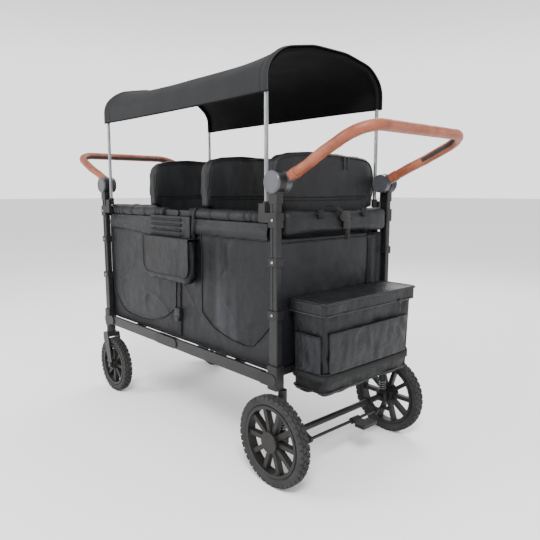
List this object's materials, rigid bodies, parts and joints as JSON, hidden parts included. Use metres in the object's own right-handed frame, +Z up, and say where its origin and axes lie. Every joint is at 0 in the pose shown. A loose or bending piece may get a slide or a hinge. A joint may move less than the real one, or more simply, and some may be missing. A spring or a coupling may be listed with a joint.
{
  "type": "folding canopy wagon stroller",
  "caption": "Folding kids' pull wagon: fabric cabin with padded seat backs, arched canopy on poles, leather-wrapped push handles, caster front wheels, sprung rear wheels and a rear storage bag.",
  "frame": {"origin": "on the ground below the middle of the wagon", "axes": "+X along the wagon towards the end with the storage bag and fixed wheels, +Y across it to its right side when driven towards -X, +Z up"},
  "size_m": [1.623, 0.59, 1.2483],
  "materials": {
    "frame_tube": "satin dark charcoal powder coat",
    "fork_metal": "satin black powder coat",
    "black_plastic": "fine-grained matte black",
    "rim_plastic": "matte dark grey",
    "tyre": "matte rubber",
    "rivet_steel": "dark plated steel",
    "hoop_steel": "grey satin tube",
    "axle_steel": "black satin steel",
    "tan_leather": "cognac leather, fine grain",
    "black_fabric": "woven polyester, soft sheen",
    "webbing": "ribbed webbing"
  },
  "bodies": {
    "rear_end": {"rear_posts": "frame_tube", "rear_post_collars": "black_plastic", "rear_pivot_heads": "black_plastic", "rear_cross_tubes": "frame_tube", "rear_rivets": "rivet_steel", "rear_rail_pad": "black_fabric", "rear_end_panel": "black_fabric", "suspension_sleeves": "frame_tube", "suspension_springs": "axle_steel", "storage_bag": "black_fabric", "seat_back_rear": "black_fabric", "seat_strap_buckle": "webbing", "side_walls": "black_fabric", "floor_mat": "black_fabric", "seat_benches": "black_fabric", "side_pouch": "black_fabric"},
    "bag_lid": {"bag_lid": "black_fabric"},
    "rear_axle": {"axle_carriers": "frame_tube", "rear_axle": "axle_steel", "brake_brackets": "frame_tube"},
    "brake": {"brake_shaft": "axle_steel", "brake_pedal": "black_plastic"},
    "handle_rear": {"handle_rear_hubs": "black_plastic", "handle_rear_tube": "frame_tube", "handle_rear_wrap": "tan_leather"},
    "handle_front": {"handle_front_hubs": "black_plastic", "handle_front_tube": "frame_tube", "handle_front_wrap": "tan_leather"},
    "wheel_rear_left": {"wheel_rear_left_rim": "rim_plastic", "wheel_rear_left_tyre": "tyre", "wheel_rear_left_cap": "black_plastic"},
    "wheel_rear_right": {"wheel_rear_right_rim": "rim_plastic", "wheel_rear_right_tyre": "tyre", "wheel_rear_right_cap": "black_plastic"},
    "floor_rear": {"floor_frame_rear": "frame_tube"},
    "floor_front": {"floor_frame_front": "frame_tube", "floor_hinge_brackets": "black_plastic"},
    "front_end": {"front_posts": "frame_tube", "front_post_collars": "black_plastic", "front_pivot_heads": "black_plastic", "front_cross_tubes": "frame_tube", "front_rivets": "rivet_steel", "front_rail_pad": "black_fabric", "front_end_panel": "black_fabric", "caster_housings": "black_plastic"},
    "caster_left": {"caster_left_fork": "fork_metal"},
    "caster_right": {"caster_right_fork": "fork_metal"},
    "wheel_front_left": {"wheel_front_left_rim": "rim_plastic", "wheel_front_left_tyre": "tyre"},
    "wheel_front_right": {"wheel_front_right_rim": "rim_plastic", "wheel_front_right_tyre": "tyre"},
    "top_rails_rear": {"top_rails_rear": "frame_tube", "rail_wraps_rear": "black_fabric"},
    "top_rails_front": {"top_rails_front": "frame_tube", "rail_wraps_front": "black_fabric"},
    "canopy_rear": {"canopy_hoop_rear": "hoop_steel", "canopy_fabric": "black_fabric"},
    "canopy_front": {"canopy_hoop_front": "hoop_steel"},
    "seat_middle": {"seat_back_middle": "black_fabric"},
    "seat_front": {"seat_back_front": "black_fabric"}
  },
  "joints": [
    {"name": "fold", "type": "hinge", "parent": "rear_end", "child": "floor_rear", "pos_m": [0.47, 0, 0.303], "axis": [0, 1, 0], "range_deg": [0, 75], "deforming": ["side_walls", "floor_mat", "seat_benches", "side_pouch", "canopy_fabric"]},
    {"name": "floor_middle_fold", "type": "hinge", "parent": "floor_rear", "child": "floor_front", "pos_m": [0, 0, 0.303], "axis": [0, 1, 0], "range_deg": [-150, 0]},
    {"name": "front_end_fold", "type": "hinge", "parent": "floor_front", "child": "front_end", "pos_m": [-0.47, 0, 0.303], "axis": [0, 1, 0], "range_deg": [0, 75]},
    {"name": "top_rail_rear_fold", "type": "hinge", "parent": "rear_end", "child": "top_rails_rear", "pos_m": [0.47, 0, 0.76], "axis": [0, 1, 0], "range_deg": [-75, 0]},
    {"name": "top_rail_front_fold", "type": "hinge", "parent": "front_end", "child": "top_rails_front", "pos_m": [-0.47, 0, 0.76], "axis": [0, 1, 0], "range_deg": [0, 75]},
    {"name": "seat_middle_gather", "type": "slide", "parent": "rear_end", "child": "seat_middle", "axis": [1, 0, 0], "range_m": [0, 0.23]},
    {"name": "seat_front_gather", "type": "slide", "parent": "rear_end", "child": "seat_front", "axis": [1, 0, 0], "range_m": [0, 0.44]},
    {"name": "handle_rear_tilt", "type": "hinge", "parent": "rear_end", "child": "handle_rear", "pos_m": [0.511, 0, 0.858], "axis": [0, 1, 0], "range_deg": [-60, 80]},
    {"name": "handle_front_tilt", "type": "hinge", "parent": "front_end", "child": "handle_front", "pos_m": [-0.511, 0, 0.858], "axis": [0, -1, 0], "range_deg": [-60, 80]},
    {"name": "canopy_rear_lift", "type": "slide", "parent": "rear_end", "child": "canopy_rear", "axis": [0, 0, 1], "range_m": [0, 0.018]},
    {"name": "canopy_front_lift", "type": "slide", "parent": "front_end", "child": "canopy_front", "axis": [0, 0, 1], "range_m": [0, 0.018]},
    {"name": "rear_suspension", "type": "slide", "parent": "rear_end", "child": "rear_axle", "axis": [0, 0, 1], "range_m": [0, 0.008], "stiffness_N_per_m": 14000, "springref_m": -0.02, "deforming": ["suspension_springs"]},
    {"name": "wheel_rear_left_roll", "type": "hinge", "parent": "rear_axle", "child": "wheel_rear_left", "pos_m": [0.528, -0.274, 0.132], "axis": [0, 1, 0], "continuous": true},
    {"name": "wheel_rear_right_roll", "type": "hinge", "parent": "rear_axle", "child": "wheel_rear_right", "pos_m": [0.528, 0.274, 0.132], "axis": [0, 1, 0], "continuous": true},
    {"name": "brake_press", "type": "hinge", "parent": "rear_axle", "child": "brake", "pos_m": [0.562, 0, 0.111], "axis": [0, 1, 0], "range_deg": [0, 25]},
    {"name": "caster_left_swivel", "type": "hinge", "parent": "front_end", "child": "caster_left", "pos_m": [-0.511, -0.25, 0.25], "axis": [0, 0, 1], "continuous": true},
    {"name": "caster_right_swivel", "type": "hinge", "parent": "front_end", "child": "caster_right", "pos_m": [-0.511, 0.25, 0.25], "axis": [0, 0, 1], "continuous": true},
    {"name": "wheel_front_left_roll", "type": "hinge", "parent": "caster_left", "child": "wheel_front_left", "pos_m": [-0.478, -0.25, 0.112], "axis": [0, 1, 0], "continuous": true},
    {"name": "wheel_front_right_roll", "type": "hinge", "parent": "caster_right", "child": "wheel_front_right", "pos_m": [-0.478, 0.25, 0.112], "axis": [0, 1, 0], "continuous": true},
    {"name": "bag_lid_open", "type": "hinge", "parent": "rear_end", "child": "bag_lid", "pos_m": [0.5263, 0, 0.5403], "axis": [0, -1, 0], "range_deg": [0, 85]}
  ],
  "couplings": [
    {"joint": "floor_middle_fold", "follows": "fold", "ratio": -2},
    {"joint": "front_end_fold", "follows": "fold", "ratio": 1},
    {"joint": "top_rail_rear_fold", "follows": "fold", "ratio": -1},
    {"joint": "top_rail_front_fold", "follows": "fold", "ratio": 1},
    {"joint": "canopy_front_lift", "follows": "canopy_rear_lift", "ratio": 1},
    {"joint": "seat_middle_gather", "follows": "fold", "m_per_rad": 0.1756},
    {"joint": "seat_front_gather", "follows": "fold", "m_per_rad": 0.336}
  ]
}
